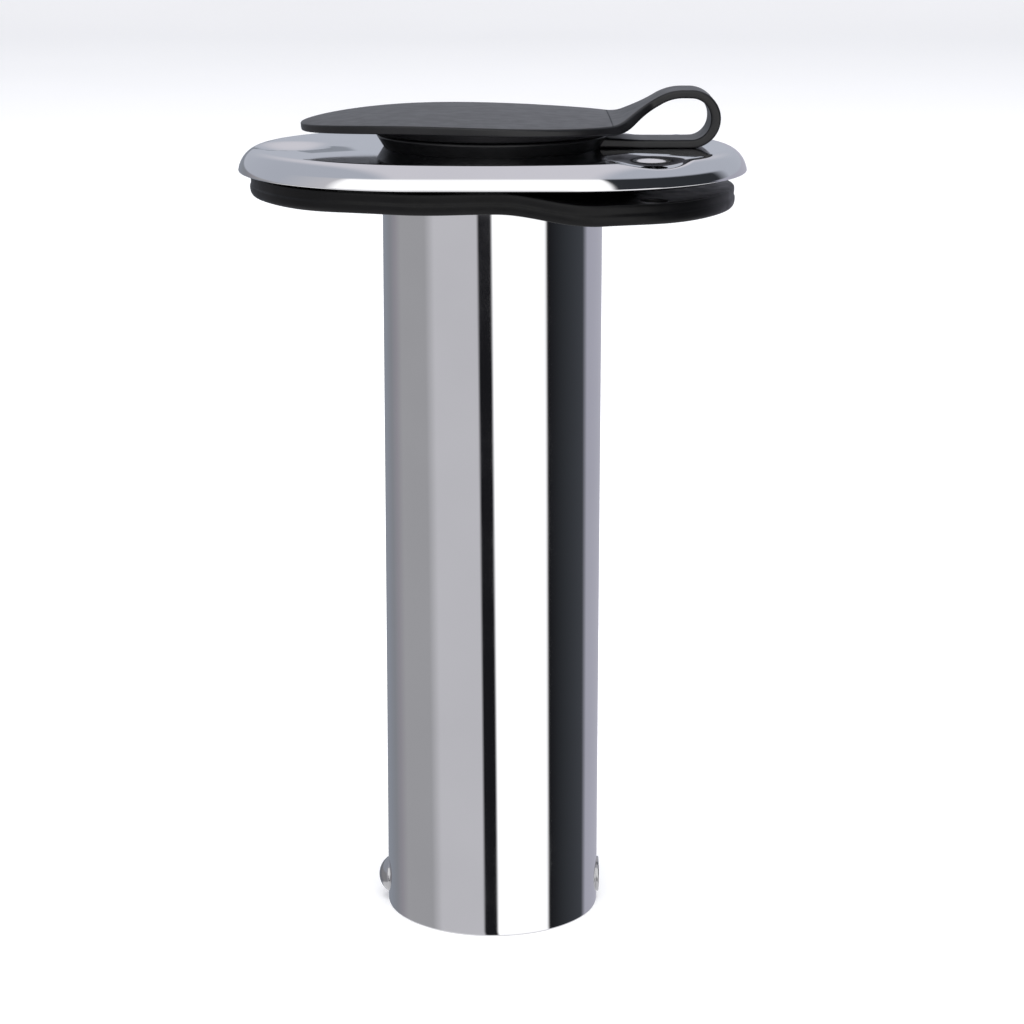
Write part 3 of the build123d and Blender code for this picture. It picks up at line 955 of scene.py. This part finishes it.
def rise_between(nodes, links, value, low, high):
    """0 below low and 1 above high, with a smooth rise between."""
    node = nodes.new("ShaderNodeMapRange")
    node.interpolation_type = "SMOOTHSTEP"
    node.inputs["From Min"].default_value, node.inputs["From Max"].default_value = low, high
    links.new(value, node.inputs["Value"])
    return node.outputs["Result"]


def panels(nodes, links, turn, *stops):
    """Upright panels round the studio: (degrees from the front toward +X, colour) stops on a full turn."""
    share = math_node(nodes, links, "DIVIDE", math_node(nodes, links, "ADD", turn, math.pi), 2 * math.pi)
    return ramp(nodes, links, share, *[((degrees + 180) / 360, colour) for degrees, colour in stops])


# The studio's colours, and how far its low panels lean with height
BACK, LOW_BACK, CEILING = (0.47, 0.495, 0.56), (0.42, 0.42, 0.49), (0.70, 0.69, 0.74)
EDGE, DIM, GRAY, PALE = (0.26, 0.28, 0.32), (0.255, 0.265, 0.29), (0.38, 0.38, 0.395), (0.59, 0.585, 0.615)
BLACK, FLAG, WHITE, GROUND = (0.011, 0.011, 0.013), (0.03, 0.033, 0.038), (1.3, 1.3, 1.3), (0.9, 0.9, 0.92)
LEAN = 0.5


def make_studio():
    """Soft studio: low and high reflectors and black flags all round, under a pale ceiling."""
    world = bpy.data.worlds.new("studio")
    bpy.context.scene.world = world
    world.use_nodes = True
    nodes, links = world.node_tree.nodes, world.node_tree.links
    place = nodes.new("ShaderNodeTexCoord")
    parts = nodes.new("ShaderNodeSeparateXYZ")
    links.new(place.outputs["Generated"], parts.inputs["Vector"])
    up = parts.outputs["Z"]

    def calc(operation, a, b=0.0):
        return math_node(nodes, links, operation, a, b)

    def rises(value, low, high):
        return rise_between(nodes, links, value, low, high)

    def mix(factor, first, second):
        return blend_colours(nodes, links, factor, first, second)

    turn = calc("ARCTAN2", parts.outputs["X"], calc("MULTIPLY", parts.outputs["Y"], -1.0))
    leaning = calc("ADD", turn, calc("MULTIPLY", up, LEAN))
    low = panels(nodes, links, leaning, (-180, EDGE), (-158, EDGE), (-141, DIM), (-129, (0.31, 0.3, 0.33)),
                 (-117, GRAY), (-80, GRAY), (-68, PALE), (-6.5, PALE), (-5, WHITE), (51.5, WHITE),
                 (55, BLACK), (75, FLAG), (105, (0.055, 0.06, 0.07)), (114, LOW_BACK),
                 (180, (0.47, 0.47, 0.54)))
    strip = panels(nodes, links, leaning, (-20.5, 0.0), (-19, 1.0), (-6.5, 1.0), (-4.5, 0.0))
    low = mix(calc("MULTIPLY", strip, rises(calc("MULTIPLY", up, -1.0), 0.1275, 0.134)), low, BLACK)
    high = panels(nodes, links, turn, (-180, BACK), (-100, BACK), (-62, PALE), (-54, WHITE), (29, WHITE),
                  (33, FLAG), (112, FLAG), (126, BACK), (180, BACK))
    # The ceiling comes lower toward the back, so that it meets the panels along one line of a rounded edge.
    above = calc("SUBTRACT", up, calc("MULTIPLY", calc("COSINE", calc("MULTIPLY", turn, 0.5)), 0.885))
    aside = rises(calc("ABSOLUTE", parts.outputs["X"]), 0.2, 0.42)
    ceiling = mix(aside, mix(rises(up, 0.15, 0.6), BACK, CEILING), BACK)
    colour = mix(rises(up, 0.06, 0.1), low, mix(rises(above, -0.12, -0.03), high, ceiling))
    colour = mix(rises(calc("MULTIPLY", up, -1.0), 0.5, 0.6), colour, GROUND)
    links.new(colour, nodes["Background"].inputs["Color"])


def add_area(name, place, aim, size, power):
    """A round lamp that mirrors don't show."""
    light = bpy.data.lights.new(name, "AREA")
    light.shape, light.size, light.energy = "DISK", size, power
    lamp = bpy.data.objects.new(name, light)
    lamp.location = place
    lamp.rotation_euler = (Vector(aim) - Vector(place)).to_track_quat("-Z", "Y").to_euler()
    lamp.visible_glossy = False
    bpy.context.scene.collection.objects.link(lamp)


# Camera at the photo's angle, with a small shift so that the other views stay whole

LENS = 94.6
SHIFT_X, SHIFT_Y = 0.019, -0.055
CAMERA_DISTANCE, CAMERA_ABOVE_FLANGE = 0.62, 0.0684
CAMERA_PITCH = math.radians(12.87)
CLIP_NEAR, CLIP_FAR = 0.05, 60


def make_camera():
    """A camera in front of the holder and a little above its flange, looking slightly down."""
    data = bpy.data.cameras.new("camera")
    data.lens = LENS
    data.shift_x, data.shift_y = SHIFT_X, SHIFT_Y
    camera = bpy.data.objects.new("camera", data)
    camera.location = (0, -CAMERA_DISTANCE, DECK_TOP + CAMERA_ABOVE_FLANGE)
    camera.rotation_euler = Euler((math.pi / 2 - CAMERA_PITCH, 0, 0))
    data.clip_start, data.clip_end = CLIP_NEAR, CLIP_FAR
    bpy.context.scene.collection.objects.link(camera)
    bpy.context.scene.camera = camera


make_backdrop()
make_studio()
add_area("top_softbox", (0.15, -0.35, 2.2), (0, 0, -0.1), 2.4, 62)
make_camera()
bpy.context.scene.view_settings.view_transform = "Standard"
